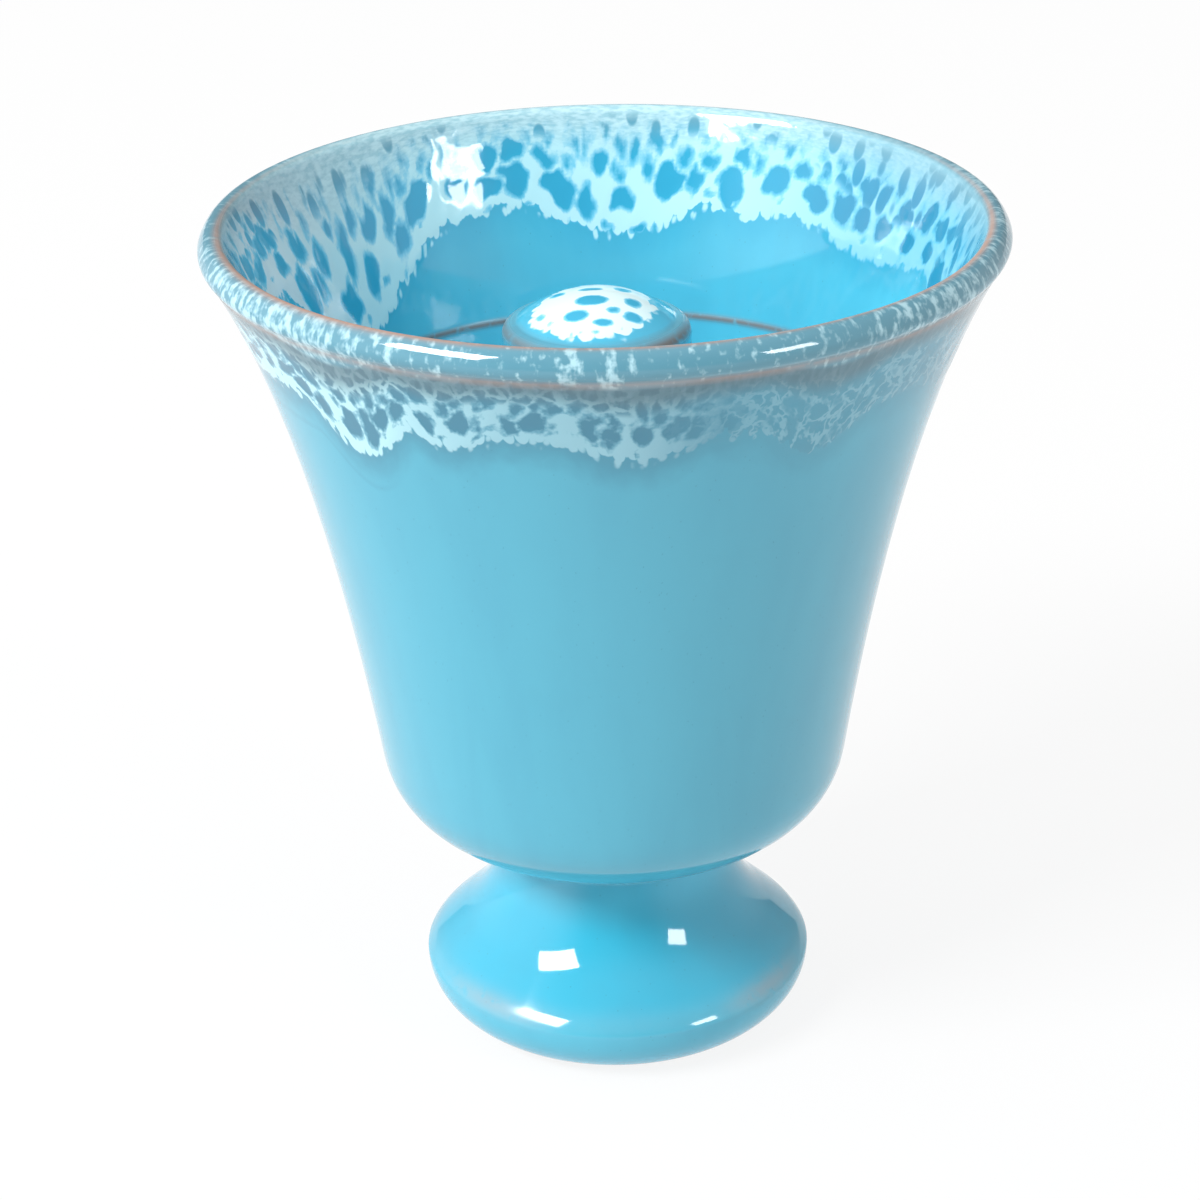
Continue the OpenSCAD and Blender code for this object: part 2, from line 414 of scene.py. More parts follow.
def lace_glaze(name):
    """White lace glaze over turquoise. All lengths are in millimetres. Besides what the turquoise reads,
    it reads from the mesh: band, the way up from the lace's lower edge; level, the way down from the lip;
    web, the way out of the lace's holes; vigour, how thick the lace is; fleck, how white the lip is."""
    material, tree, shader, skin = start_glaze(name)
    band = read(tree, "band")
    level = read(tree, "level")
    web = read(tree, "web")
    inside = read(tree, "inside")
    outside = sums(tree, "SUBTRACT", 1.0, inside)
    vigour = read(tree, "vigour")

    # Outside, the lace is weak where it is thinnest. In the bowl, slits tear it where it is thin or thick
    weak = times(tree, rise(tree, vigour, 0.6, 0.25), outside)
    strong = sums(tree, "SUBTRACT", 1.0, weak)
    thinner = rise(tree, vigour, 0.9, 0.5)
    thicker = rise(tree, vigour, 1.0, 1.2)
    torn = sums(tree, "MAXIMUM", thinner, rise(tree, vigour, 1.02, 1.3))
    torn = times(tree, torn, inside)

    # The lace's lower edge, with small round frills that are calmer where it is torn
    frill = cells(tree, stretch(tree, skin, 1.05, 0.75), 1.0, "F1")
    ragged = cloud(tree, skin, 0.5)
    grain = cloud(tree, skin, 1.3)
    fringe = sums(tree, "ADD", band, plus(tree, ragged, 2.4, -1.2))
    frill = times(tree, plus(tree, times(tree, frill, frill), -2.3, 0.65), plus(tree, torn, -0.55, 1.0))
    edge = sums(tree, "ADD", fringe, frill)
    in_band = rise(tree, edge, -0.2, 0.3)

    # Its round holes, with slits above them in the bowl and a fine crackle above them outside.
    # Where it is weak, only thin veins are left of it
    rough = times(tree, plus(tree, grain, 1.0, -0.5), plus(tree, outside, 0.35, 0.6))
    wall = times(tree, sums(tree, "ADD", web, rough), plus(tree, outside, 0.4, 1.4))
    wall = sums(tree, "ADD", wall, times(tree, rise(tree, level, 2.4, 0.8), inside))
    slit = cells(tree, stretch(tree, skin, 0.44, 0.27), 1.0, "F1")
    slit = rise(tree, plus(tree, torn, -0.12, slit), 0.40, 0.28)
    slit = times(tree, slit, rise(tree, plus(tree, torn, -4.5, level), 4.2, 2.6))
    slit = times(tree, slit, rise(tree, level, 0.8, 2.0), inside)
    crackle = sums(tree, "ADD", cells(tree, skin, 0.62), plus(tree, grain, 0.5, -0.25))
    crackle = times(tree, rise(tree, crackle, 0.05, 0.24), rise(tree, level, 8.2, 7.0), outside)
    closed = sums(tree, "SUBTRACT", 1.0, sums(tree, "MAXIMUM", slit, crackle))
    sway = enlarge(tree, cloud(tree, skin, 0.7, 2.0, "Color"), 3.0)
    vein = rise(tree, cells(tree, vector_sum(tree, "ADD", skin, sway), 0.45), 0.15, 0.04)
    vein = times(tree, vein, weak, rise(tree, ragged, 0.3, 0.5))
    cover = sums(tree, "MAXIMUM", vein, times(tree, strong, rise(tree, wall, -0.4, 0.15)))
    lace = times(tree, in_band, closed, cover, plus(tree, vigour, 0.5, 0.5))
    thick = times(tree, rise(tree, edge, -0.1, 0.5), closed, rise(tree, wall, 0.0, 0.6), vigour, strong)
    thick = sums(tree, "ADD", thick, times(tree, vein, 0.4))

    # Turquoise under it, deeper in the holes and just below the lace
    body = turquoise_paint(tree, skin, inside)
    halo = times(tree, rise(tree, fringe, -4.6, 0.2), plus(tree, inside, -0.2, 0.6))
    deep = mix(tree, rise(tree, vigour, 0.4, 1.0), hole_thin, hole_inside)
    deep = mix(tree, inside, hole_outside, deep)
    deep_share = times(tree, sums(tree, "MAXIMUM", halo, in_band), plus(tree, weak, -0.55, 1.0))
    veil = times(tree, inside, rise(tree, level, 6.5, 1.0))
    hollow = mix(tree, thicker, slit_pale, slit_deep)
    deep = mix(tree, times(tree, veil, veil), deep, hollow)
    under = mix(tree, deep_share, body, deep)

    # A faint lower edge of the deeper glaze, where the lace is thickest outside
    shore = times(tree, rise(tree, band, -4.9, -4.4), rise(tree, band, -3.5, -4.3))
    shore = times(tree, shore, rise(tree, vigour, 0.9, 1.05), outside)
    under = mix(tree, times(tree, shore, 0.2), under, hole_outside)

    # Pale lace, white where it is thick, with a finely rippled veil towards the lip
    pale = mix(tree, inside, pale_outside, pale_inside)
    whitest = mix(tree, thicker, white_inside, white_thick)
    whitest = mix(tree, rise(tree, vigour, 1.25, 1.5), whitest, white_thickest)
    white = mix(tree, inside, white_outside, whitest)
    white = mix(tree, thick, pale, white)
    ripple = cloud(tree, stretch(tree, skin, 0.9, 3.2), 1.0, 2.0)
    veil_paint = mix(tree, rise(tree, ripple, 0.3, 0.7), veil_dark, veil_light)
    veil_paint = mix(tree, times(tree, thinner, 0.5), veil_paint, veil_thin)
    veil_paint = mix(tree, times(tree, rise(tree, vigour, 1.02, 1.2), 0.45), veil_paint, veil_thick)
    white = mix(tree, times(tree, veil, 0.85), white, veil_paint)
    paint = mix(tree, lace, under, white)

    # Outside, a grey veil under the lip, and white flecks and runs on the lip's bead
    thread = cloud(tree, stretch(tree, skin, 1.4, 0.5), 1.0, 2.0)
    high = times(tree, rise(tree, level, 8.4, 5.4), outside)
    grey = mix(tree, rise(tree, thread, 0.4, 0.7), grey_dark, grey_light)
    paint = mix(tree, times(tree, high, 0.85), paint, grey)
    on_lip = times(tree, rise(tree, level, 4.8, 4.1), outside)
    fleck = sums(tree, "ADD", plus(tree, thread, 1.0, -0.85), plus(tree, grain, 0.9, -0.45))
    fleck = rise(tree, plus(tree, read(tree, "fleck"), 0.6, fleck), -0.12, 0.24)
    lip_paint = mix(tree, fleck, lip_blue, lip_white)
    paint = clay_over(tree, skin, mix(tree, on_lip, paint, lip_paint))
    tree.links.new(paint, shader.inputs["Base Color"])
    tree.links.new(clay_roughness(tree), shader.inputs["Roughness"])
    lumps = times(tree, cells(tree, skin, 0.5, "F1"), rise(tree, band, -1.0, 1.5))
    relief = add(tree, "ShaderNodeBump", {"Strength": 0.1, "Distance": 0.0002, "Height": lumps})
    tree.links.new(relief.outputs["Normal"], shader.inputs["Normal"])
    return material


# The profile goes up the outside, over the lip and down the inside, with finer steps under the lace
lip = eased_arc(lip_outer_end, lip_inner_end, lip_round, lip_slope, lip_slope_width, lip_slope_round, 22)
lip += np.array([rim_radius, lip_height]) - lip.max(axis=0)
heel_pull = (belly_radius - heel_inset, seat_height + heel_rise)
heel_points = bend((neck_radius, seat_height), heel_pull, (belly_radius, belly_height), 12)
outer_line = bend((belly_radius, belly_height), (flare_radius, flare_height), lip[0], 300)
outer_end = along(outer_line)[-1]
outer_stops = np.concatenate([
    np.linspace(0, outer_end - outer_fine, 12),
    np.arange(outer_end - outer_fine, outer_end, fine_gap)[1:]])
inner_pull = (flare_radius - flare_thickness, flare_height)
inner_line = bend(lip[-1], inner_pull, (belly_radius - wall_thickness, belly_height), 300)
line_stop = np.interp(-fill_line_height, -inner_line[:, 1], along(inner_line))
inner_stops = np.concatenate([
    np.arange(fine_gap, inner_fine, fine_gap),
    np.linspace(-fill_line_zone, fill_line_zone, 11) + line_stop,
    np.linspace(line_stop + 2 * fill_line_zone, along(inner_line)[-1], 12)])
inner_points = respaced(inner_line, inner_stops)
wall_foot = inner_points[-1, 0]
cove_points = bend(inner_points[-1], (wall_foot, floor_height), (wall_foot - floor_cove, floor_height), 8)
underside = straight((pipe_hole_radius, seat_height), (neck_radius, seat_height), 3)
floor_points = straight(cove_points[-1], (pipe_hole_radius, floor_height), 3)
inner_points[:, 0] -= fill_line_proud * bell(inner_points[:, 1] - fill_line_height, fill_line_half)
outer_points = respaced(outer_line, outer_stops)[1:]
bowl_profile = np.concatenate([
    [(pipe_hole_radius, seat_height)], underside, heel_points, outer_points, lip, inner_points,
    cove_points, floor_points])
bowl_shift = siphon_x * smooth_step(neck_radius, pipe_hole_radius, bowl_profile[:, 0])
bowl, radius, height, turn = turned("bowl_glazed", bowl_profile, bowl_around, bowl_shift)

# Where the lace lies: rim is the way from the lip's crest, above 0 in the bowl and below 0 outside
bowl_way = along(bowl_profile)
rim = 1000 * np.repeat(bowl_way - bowl_way[np.argmax(bowl_profile[:, 1])], bowl_around)
over_crest = humps(turn, 0.6, [(90, 85, 1.8)])
in_bowl = smooth_step(-over_crest, 2.4 - over_crest, rim)
inside_edge = humps(turn, inside_depth, [
    (87, 19, 4.2), (146, 26, 11.0), (118, 8, 1.0), (61, 7, 1.2), (33, 20, 2.4),
    (0, 16, 4.0), (-38, 20, 5.0), (-80, 24, 2.8), (-124, 20, 6.0), (-165, 16, 3.4)])
outside_edge = humps(turn, outside_depth, [
    (-131, 11, 5.4), (-114, 7, 1.8), (-86, 11, 2.6), (-57, 11, 4.2), (-20, 16, 3.8),
    (20, 18, 5.0), (58, 16, 2.8), (95, 20, 5.2), (136, 14, 2.4), (170, 18, 4.6)])
reach = np.where(rim > 0, inside_edge, outside_edge)
band = reach - np.abs(rim)
depth = np.abs(rim) * np.where(rim > 0, inside_depth, outside_depth) / reach
skin = ring_points(pattern_radius, turn, depth * np.sign(rim))

# The lace's holes: rows of big ones low down and smaller ones above them, finer outside than inside
girth = 2 * np.pi * pattern_radius
place = pattern_radius * (turn + np.pi)
place = place + hole_wobble * (np.sin(skin @ [1.7, 1.1, 1.3]) + np.sin(skin @ [-1.2, 1.8, -1.9]))
uneven = depth + hole_wobble * (np.sin(skin @ [1.4, -1.6, 0.9]) + np.sin(skin @ [1.9, 1.3, -0.7]))
inside_holes = lay_holes(np.random.default_rng(11), girth, [
    (11.3, 5.0, 0.5, 0.4), (9.0, 5.0, 1.95, 1.75), (6.1, 3.8, 1.3, 1.6), (3.9, 2.8, 0.65, 1.4),
    (2.4, 2.4, 0.4, 1.2)])
outside_holes = lay_holes(np.random.default_rng(4), girth, [
    (12.3, 3.6, 0.4, 0.35), (10.4, 2.9, 1.32, 1.42), (8.2, 2.1, 0.9, 0.9)])
web = np.full_like(turn, no_hole)
laced_in = (rim > inside_start) & (band > lace_end)
laced_out = (rim < outside_start) & (band > lace_end)
web[laced_in] = lace_web(place[laced_in], uneven[laced_in], inside_holes, girth, inside_wall)
web[laced_out] = lace_web(place[laced_out], uneven[laced_out], outside_holes, girth, outside_wall)

# How thick the lace is round the pot, and how white the lip is
thin_side = np.degrees(np.abs(np.angle(np.exp(1j * (turn - np.radians(thin_place))))))
vigour_out = humps(turn, 0.6, [(-145, 45, 0.47)]) * (0.5 + 0.5 * smooth_step(12, 44, thin_side))
vigour_in = humps(turn, 1.0, [(12, 60, -0.6), (-170, 60, 0.2)])
vigour = vigour_out + (vigour_in - vigour_out) * in_bowl
fleck = humps(turn, 0.3, [
    (-145, 38, 0.37), (-95, 1.6, 0.4), (-89.6, 2.0, 0.45), (-35, 30, 0.27), (20, 40, 0.42), (100, 60, 0.3)])

# The lace stands a little proud of the turquoise
tangent = np.gradient(bowl_profile, axis=0)
outward = np.stack([tangent[:, 1], -tangent[:, 0]], axis=1) / np.hypot(*tangent.T)[:, None]
outward = np.repeat(outward, bowl_around, axis=0)
proud = lace_proud * smooth_step(-0.3, 0.4, band) * smooth_step(-0.6, 0.6, web)
proud *= smooth_step(2.5, 5, np.abs(rim))
radius = radius + proud * outward[:, 0]
height = height + proud * outward[:, 1]
points = ring_points(radius, turn, height, np.repeat(bowl_shift, bowl_around))
bowl.data.vertices.foreach_set("co", points.ravel())

# Where the clay shows through
crest_place = humps(turn, 0.6, [(-90, 75, -0.55)])
crest_width = humps(turn, 0.3, [(-142, 45, 0.5), (-90, 60, 0.1), (-25, 30, 0.3)])
crest_share = humps(turn, 0.5, [(-142, 50, 0.5), (-90, 50, 0.2), (-25, 40, 0.4), (90, 95, -0.5)])
crest_bare = crest_share * bell(rim - crest_place, crest_width)
under_lip = under_lip_bare * bell(rim + under_lip_depth, under_lip_half)
line_bare = fill_line_bare * in_bowl * bell(height - fill_line_height, fill_line_half)
bare = np.clip(crest_bare + under_lip + line_bare, 0, 1)
lay_on(bowl, skin=skin, band=band, level=depth, web=web, inside=in_bowl, bare=bare, vigour=vigour,
       fleck=fleck, pool=0)
bowl.data.materials.append(lace_glaze("lip_lace_glaze"))
bowl.data.materials.append(turquoise_glaze("bowl_turquoise_glaze"))
plain = (band < plain_end).reshape(-1, bowl_around)
plain = plain & np.roll(plain, -1, axis=0)
bowl.data.polygons.foreach_set("material_index", plain.ravel().astype(np.int32))
bowl.data.update()
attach(bowl, "root")
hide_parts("bowl")

# The foot is turned from the same clay: a round-edged disc that sweeps up to the neck.
# It is hollow underneath, where the standpipe comes out. The glaze pools blue in the sweep,
# and the ring that it stands on is bare clay. The turquoise is painted paler up towards the neck:
# this is painted light, where the bowl shades the foot.

foot_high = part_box("foot")[1]
foot_radius = foot_high.x
foot_top = foot_high.z
edge_height = 0.0070
edge_round = 0.0009
edge_slope = 39
edge_slope_width = 7
edge_slope_round = 0.0086
flank_lean = 47
sweep_radius = 0.0187
sweep_pull_radius = 0.0149
ring_outer = 0.0154
ring_inner = 0.0122
recess_height = 0.015
recess_pull = 0.001
ceiling_radius = 0.0075
neck_height = 0.0221
edge_bare_height = 0.0082
edge_bare_half = 0.001
edge_bare_radius = 0.018
standing_low = 0.0002
standing_high = 0.0008
pool_start = 0.0075
pool_full = 0.0105
pool_fade = 0.0160
pool_end = 0.0215
painted_light_start = 0.0150
painted_light_full = 0.0200
foot_brightness = 0.35
foot_around = 256


def sweep(centre, half_width, half_height, first, last, steps):
    """Points on an ellipse's arc between two angles in degrees, both ends included."""
    angle = np.radians(np.linspace(first, last, steps))
    across = centre[0] + half_width * np.cos(angle)
    return np.stack([across, centre[1] + half_height * np.sin(angle)], axis=1)


climb = 1 / np.tan(np.radians(flank_lean))
foot_edge = eased_arc(0, flank_lean, edge_round, edge_slope, edge_slope_width, edge_slope_round, 20)
foot_edge += np.array([foot_radius, edge_height])
sweep_start = (sweep_radius, foot_edge[-1, 1] + (foot_edge[-1, 0] - sweep_radius) * climb)
sweep_pull = (sweep_pull_radius, sweep_start[1] + (sweep_radius - sweep_pull_radius) * climb)
lower_edge = sweep((ring_outer, edge_height), foot_radius - ring_outer, edge_height, -90, 0, 28)
flank_points = np.concatenate([
    straight(foot_edge[-1], sweep_start, 12),
    bend(sweep_start, sweep_pull, (neck_radius, neck_height), 32)])
neck_points = straight((neck_radius, neck_height), (neck_radius, foot_top), 2)
foot_top_points = straight((neck_radius, foot_top), (pipe_hole_radius, foot_top), 4)
ceiling_points = straight((pipe_hole_radius, recess_height), (ceiling_radius, recess_height), 4)
recess_corner = (ring_inner - recess_pull, recess_height - recess_pull)
recess_points = bend((ceiling_radius, recess_height), recess_corner, (ring_inner, 0), 24)
foot_profile = np.concatenate([
    [(pipe_hole_radius, recess_height)], ceiling_points, recess_points, lower_edge, foot_edge[1:],
    flank_points, neck_points, foot_top_points])
foot_shift = siphon_x * smooth_step(ceiling_radius, pipe_hole_radius, foot_profile[:, 0])
foot, radius, height, turn = turned("foot_glazed", foot_profile, foot_around, foot_shift)
skin = 1000 * ring_points(radius, turn, height)

# Bare clay in the hollow, on the standing ring and in places along the edge, pools in the sweep,
# # and painted light that makes the turquoise paler towards the neck, where the bowl shades it
recess_count = 1 + len(ceiling_points) + len(recess_points)
in_recess = np.repeat(np.arange(len(foot_profile)) < recess_count, foot_around)
standing = smooth_step(standing_high, standing_low, height) * (1 - in_recess)
edge_bare = bell(height - edge_bare_height, edge_bare_half) * (radius > edge_bare_radius)
edge_bare *= humps(turn, 0.04, [(-131, 26, 0.26), (-38, 22, 0.3), (60, 50, 0.2), (150, 40, 0.2)])
bare = np.clip(in_recess + standing + edge_bare, 0, 1)
pool = smooth_step(pool_start, pool_full, height) * smooth_step(pool_end, pool_fade, height)
pool *= 1 - in_recess
# Painted light: the foot takes more of the bowl's paler turquoise towards the neck, to lift the bowl's
# shade there
neck_painted_light = foot_brightness + (1 - foot_brightness) * smooth_step(painted_light_start, painted_light_full, height)
lay_on(foot, skin=skin, inside=neck_painted_light, bare=bare, pool=pool)
foot.data.materials.append(turquoise_glaze("foot_glaze"))
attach(foot, "root")
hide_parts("foot")

# Slip, clay thinned with water, sticks the bowl to the foot.
# It is squeezed out into a small bead all round, and the turquoise glaze runs over it.

seam_around = 192
slip_half = (seat_height - foot_top) / 2
bead = sweep((neck_radius, foot_top + slip_half), slip_half, slip_half, -90, 90, 12)
seam_profile = np.concatenate([[(pipe_hole_radius, foot_top)], bead, [(pipe_hole_radius, seat_height)]])
seam_shift = siphon_x * (seam_profile[:, 0] < neck_radius / 2)
foot_seam, radius, height, turn = turned("foot_seam_glazed", seam_profile, seam_around, seam_shift)
lay_on(foot_seam, skin=1000 * ring_points(radius, turn, height), inside=0, bare=0.25, pool=0)
foot_seam.data.materials.append(turquoise_glaze("foot_seam_glaze"))
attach(foot_seam, "root")
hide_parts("foot_seam")

# The standpipe is the siphon's drain, hidden in the column: a tube of bare clay with rounded ends.
# It stands in the bowl's floor and reaches from the fill line down into the foot's hollow.

pipe_bore = 0.0021
pipe_round = 0.0004
pipe_around = 96


def bare_clay(name, red, green, blue):
    """Matt fired clay with a fine grain, between a display colour and a darker one."""
    dark = 0.85
    material = bpy.data.materials.new(name)
    material.use_nodes = True
    tree = material.node_tree
    place = enlarge(tree, add(tree, "ShaderNodeTexCoord").outputs["Object"], 1000.0)
    grain = cloud(tree, place, 1.5, 4.0)
    paint = mix(tree, grain, colour(red * dark, green * dark, blue * dark), colour(red, green, blue))
    shader = tree.nodes["Principled BSDF"]
    shader.inputs["Roughness"].default_value = 0.85
    tree.links.new(paint, shader.inputs["Base Color"])
    return material


def pipe_corner(radius, height, first, last):
    """A quarter of a circle that rounds one corner of the pipe, about a radius and a height."""
    return sweep((radius, height), pipe_round, pipe_round, first, last, 6)


pipe_profile = np.concatenate([
    pipe_corner(pipe_bore + pipe_round, pipe_low.z + pipe_round, 180, 270),
    pipe_corner(pipe_radius - pipe_round, pipe_low.z + pipe_round, 270, 360),
    pipe_corner(pipe_radius - pipe_round, pipe_high.z - pipe_round, 0, 90),
    pipe_corner(pipe_bore + pipe_round, pipe_high.z - pipe_round, 90, 180)])
standpipe = turned("standpipe_clay", pipe_profile, pipe_around, siphon_x)[0]
standpipe.data.materials.append(bare_clay("pipe_clay", 176, 122, 92))
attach(standpipe, "root")
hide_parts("standpipe")

# A coil of soft clay is pressed into the corner round the standpipe.
# It seals the pipe to the bowl's floor and is fired bare, like the pipe.

coil_hollow = 0.25
pipe_coil = 0.0015


def coil_face(tube_radius, leg, base, way):
    """The profile of a coil in the corner between a tube and a flat base: a fillet with a hollow face.
    way is 1 for a coil above the base and -1 for one below it."""
    press = leg * coil_hollow
    pull = (tube_radius + press, base + press * way)
    face = bend((tube_radius + leg, base), pull, (tube_radius, base + leg * way), 10)
    corners = [(tube_radius, base), (tube_radius + leg, base)]
    return np.concatenate([corners, face])[::way]


pipe_coil_profile = coil_face(pipe_radius, pipe_coil, floor_height, 1)
pipe_coil_seam = turned("standpipe_coil_clay", pipe_coil_profile, pipe_around, siphon_x)[0]
pipe_coil_seam.data.materials.append(bare_clay("pipe_coil_clay", 170, 116, 88))
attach(pipe_coil_seam, "root")
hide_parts("standpipe_coil_seam")

# A fillet of slip, wiped round the standpipe's lower end,
# seals it to the ceiling of the foot's hollow. It is fired bare.

drain_coil = 0.0012
drain_profile = coil_face(pipe_radius, drain_coil, recess_height, -1)
drain_seam = turned("drain_slip", drain_profile, pipe_around, siphon_x)[0]
drain_seam.data.materials.append(bare_clay("drain_slip_clay", 150, 108, 84))
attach(drain_seam, "root")
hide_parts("drain_seam")

# The column is the bell of the siphon: a tube of clay on the bowl's floor, with one arched inlet.
# It carries the same turquoise glaze as the inside of the bowl.

column_radius = (column_high.x - column_low.x) / 2
column_wall = 0.0024
column_bore = column_radius - column_wall
column_top = column_high.z
inlet_width = 0.005
inlet_height = 0.006
arch_power = 4
top_bare_depth = 0.0008
top_bare_share = 0.8
column_around = 360

column_profile = np.concatenate([
    straight((column_bore, column_top), (column_bore, floor_height), 24),
    straight((column_bore, floor_height), (column_radius, floor_height), 4),
    straight((column_radius, floor_height), (column_radius, column_top), 24),
    straight((column_radius, column_top), (column_bore, column_top), 4)])
column, radius, height, turn = turned("column_glazed", column_profile, column_around, siphon_x)

# The inlet: the lower end is lifted along an arch in front, less and less towards the top
across = radius * np.cos(turn) / (inlet_width / 2)
arch = inlet_height * np.clip(1 - np.abs(across) ** arch_power, 0, None) ** (1 / arch_power)
arch *= np.sin(turn) < 0
share = (column_top - height) / (column_top - floor_height)
height = height + arch * share
points = ring_points(radius, turn, height, siphon_x)
column.data.vertices.foreach_set("co", points.ravel())
top_bare = top_bare_share * smooth_step(column_top - top_bare_depth, column_top, height)
lay_on(column, skin=1000 * points, inside=1, bare=top_bare, pool=0)
column.data.materials.append(turquoise_glaze("column_glaze"))
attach(column, "root")
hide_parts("column")

# A coil of clay lutes the column to the bowl's floor, under the same turquoise glaze.
# It is open in front of the inlet, so that the wine can flow in.

column_coil = 0.002
coil_around = 240
coil_profile = coil_face(column_radius, column_coil, floor_height, 1)
radius = np.repeat(coil_profile[:, :1], coil_around, axis=1)
gap = np.arcsin(inlet_width / 2 / radius)
turn = gap - np.pi / 2 + (2 * np.pi - 2 * gap) * np.linspace(0, 1, coil_around)
height = np.repeat(coil_profile[:, 1:], coil_around, axis=1)
points = ring_points(radius, turn, height, siphon_x)
column_coil_seam = grid_piece("column_coil_glazed", points, True, False)
lay_on(column_coil_seam, skin=1000 * points.reshape(-1, 3), inside=1, bare=0, pool=0)
column_coil_seam.data.materials.append(turquoise_glaze("column_coil_glaze"))
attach(column_coil_seam, "root")
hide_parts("column_coil_seam")

# A thin ring of slip sticks the cap on the column.
# The glaze over it is thin, and the brown clay shows through.

cap_seam_low, cap_seam_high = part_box("cap_seam")
ring_profile = np.array([
    (column_bore, cap_seam_low.z), (column_radius, cap_seam_low.z),
    (column_radius, cap_seam_high.z), (column_bore, cap_seam_high.z)])
cap_seam, radius, height, turn = turned("cap_seam_glazed", ring_profile, seam_around, siphon_x)
lay_on(cap_seam, skin=1000 * ring_points(radius, turn, height), inside=1, bare=0.8, pool=0)
cap_seam.data.materials.append(turquoise_glaze("cap_seam_glaze"))
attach(cap_seam, "root")
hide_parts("cap_seam")

# The cap is a domed disc of clay with a short spigot, stuck on top of the column.
# Its edge breaks brown, and a patch of white lace glaze with round holes lies on its crown.

cap_low, cap_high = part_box("column_cap")
spigot_length = 0.002
cap_edge = 0.0025
cap_seat = cap_low.z + spigot_length
cap_edge_height = cap_seat + cap_edge
cap_round = 0.0016
cap_round_height = cap_edge_height - cap_round
cap_bare_half = 0.0007
cap_bare_inset = 0.0004
cap_around = 192
spigot_radius = column_bore - fit_gap
dome_radius = column_radius - cap_round
dome_rise = cap_high.z - cap_edge_height
ball_radius = (dome_radius ** 2 + dome_rise ** 2) / (2 * dome_rise)
ball_centre = (0, cap_high.z - ball_radius)
ball_angle = np.degrees(np.arccos(dome_radius / ball_radius))

# The lace patch: lengths in millimetres, the scale of its pattern and how thick it is
patch_middle = -1.9
patch_radius = 6.4
patch_wall = 0.3
patch_thicker = 0.12
patch_scale = 0.9
patch_level = 9
patch_vigour = 1.5
no_patch = -40


def weld_poles(piece):
    """Merges the ring of points at each pole into one and turns all faces outwards."""
    shape = bmesh.new()
    shape.from_mesh(piece.data)
    bmesh.ops.remove_doubles(shape, verts=shape.verts, dist=1e-7)
    bmesh.ops.recalc_face_normals(shape, faces=shape.faces)
    shape.to_mesh(piece.data)
    shape.free()


cap_profile = np.concatenate([
    [(0, cap_low.z)],
    straight((0, cap_low.z), (spigot_radius, cap_low.z), 6),
    straight((spigot_radius, cap_low.z), (spigot_radius, cap_seat), 4),
    straight((spigot_radius, cap_seat), (column_radius, cap_seat), 3),
    straight((column_radius, cap_seat), (column_radius, cap_round_height), 4),
    sweep((dome_radius, cap_round_height), cap_round, cap_round, 0, 90, 14)[1:],
    sweep(ball_centre, ball_radius, ball_radius, ball_angle, 90, 44)[1:]])
cap, radius, height, turn = turned("column_cap_glazed", cap_profile, cap_around, siphon_x, closed=False)
across = 1000 * radius * np.cos(turn)
back = 1000 * radius * np.sin(turn)
skin = np.stack([across, back, 1000 * height], axis=1) * patch_scale
patch_turn = np.arctan2(back - patch_middle, across)
patch = humps(patch_turn, patch_radius, [
    (-160, 50, 1.1), (-105, 40, 0.5), (-50, 35, 0.45), (10, 30, 0.3), (60, 50, 0.2)])
patch_way = np.hypot(across, back - patch_middle)
band = np.where(height > cap_round_height, patch - patch_way, no_patch)

# Each hole is (across, towards the back, half width, half height)
dome_holes = np.array([
    (-0.5, -2.2, 1.9, 1.15), (-2.2, -4.9, 1.4, 0.95), (4.1, -4.75, 1.2, 0.85), (2.0, -4.15, 0.85, 0.63),
    (4.1, -1.9, 1.0, 1.0), (0.8, -6.2, 1.15, 0.55), (-0.6, 1.0, 1.4, 0.6), (-4.3, 0.9, 0.9, 0.7),
    (-6.2, -3.3, 0.45, 0.5), (-4.9, -5.0, 0.45, 0.35), (-1.8, -7.1, 0.25, 0.4), (-0.1, -7.4, 0.45, 0.3),
    (2.8, -6.8, 0.3, 0.27), (-2.8, -7.5, 0.28, 0.3), (3.0, 1.6, 1.0, 0.9), (-2.6, 3.4, 0.7, 0.5)]).T
web = lace_web(across, back, dome_holes, np.inf, patch_wall) + patch_thicker
edge_bare = bell(height - cap_edge_height + cap_bare_half, cap_bare_half)
edge_bare *= radius > dome_radius - cap_bare_inset
edge_bare *= humps(turn, 0.75, [(-40, 40, 0.25)])
lay_on(cap, skin=skin, band=band, level=patch_level, web=web, inside=1, bare=edge_bare,
       vigour=patch_vigour, fleck=0, pool=0)
cap.data.materials.append(lace_glaze("cap_lace_glaze"))
weld_poles(cap)
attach(cap, "root")
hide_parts("column_cap")

# The table is a plain matt white board under the cup, and no part of it.
# The camera and the glossy glaze see it as white, with the cup's soft shadow on it.

table_half = 3.0
table_white = (0.85, 0.85, 0.85, 1)
shadow_share = 0.12
table_mesh = bpy.data.meshes.new("table")
corners = np.array([(-1, -1, 0), (1, -1, 0), (1, 1, 0), (-1, 1, 0)], float) * table_half
table_mesh.from_pydata(corners, [], [(0, 1, 2, 3)])
table = bpy.data.objects.new("table", table_mesh)
bpy.context.scene.collection.objects.link(table)
table_paint = bpy.data.materials.new("table_white")
table_paint.use_nodes = True
tree = table_paint.node_tree
tree.nodes.clear()
rays = add(tree, "ShaderNodeLightPath")
seen = sums(tree, "MAXIMUM", rays.outputs["Is Camera Ray"], rays.outputs["Is Glossy Ray"])
seen = sums(tree, "MAXIMUM", seen, rays.outputs["Is Transmission Ray"])
matt = add(tree, "ShaderNodeBsdfDiffuse", {"Color": table_white}).outputs[0]
